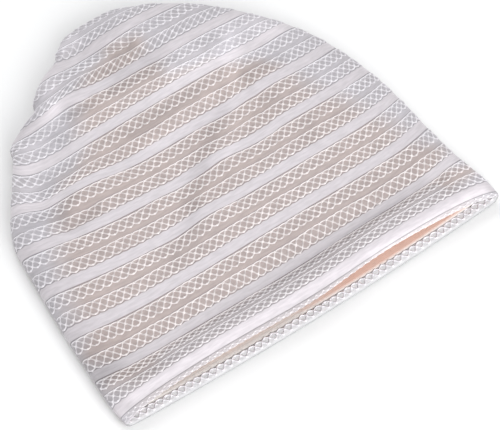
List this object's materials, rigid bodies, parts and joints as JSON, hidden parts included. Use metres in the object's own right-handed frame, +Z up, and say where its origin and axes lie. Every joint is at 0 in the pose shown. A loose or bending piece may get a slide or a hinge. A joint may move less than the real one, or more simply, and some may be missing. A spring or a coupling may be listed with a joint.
{
  "type": "chemo cap",
  "caption": "Slouchy chemo cap lying flat, in sheer fabric with satin stripes and net bands, hemmed at the brim, with a peach jersey lining",
  "frame": {"origin": "Under the middle of the cap's bounding box, on the surface that it lies on.", "axes": "+X runs along the brim from the picture's lower-left corner to the other one, +Y runs from the brim to the crown, +Z is up. The brim opens towards -Y."},
  "size_m": [0.279, 0.2512, 0.03],
  "materials": {
    "striped_net": "sheer matt ground with satin stripes and net bands",
    "lining_jersey": "soft matt jersey"
  },
  "bodies": {
    "root": {"front_panel": "striped_net", "back_panel": "striped_net", "lining": "lining_jersey"}
  },
  "joints": []
}
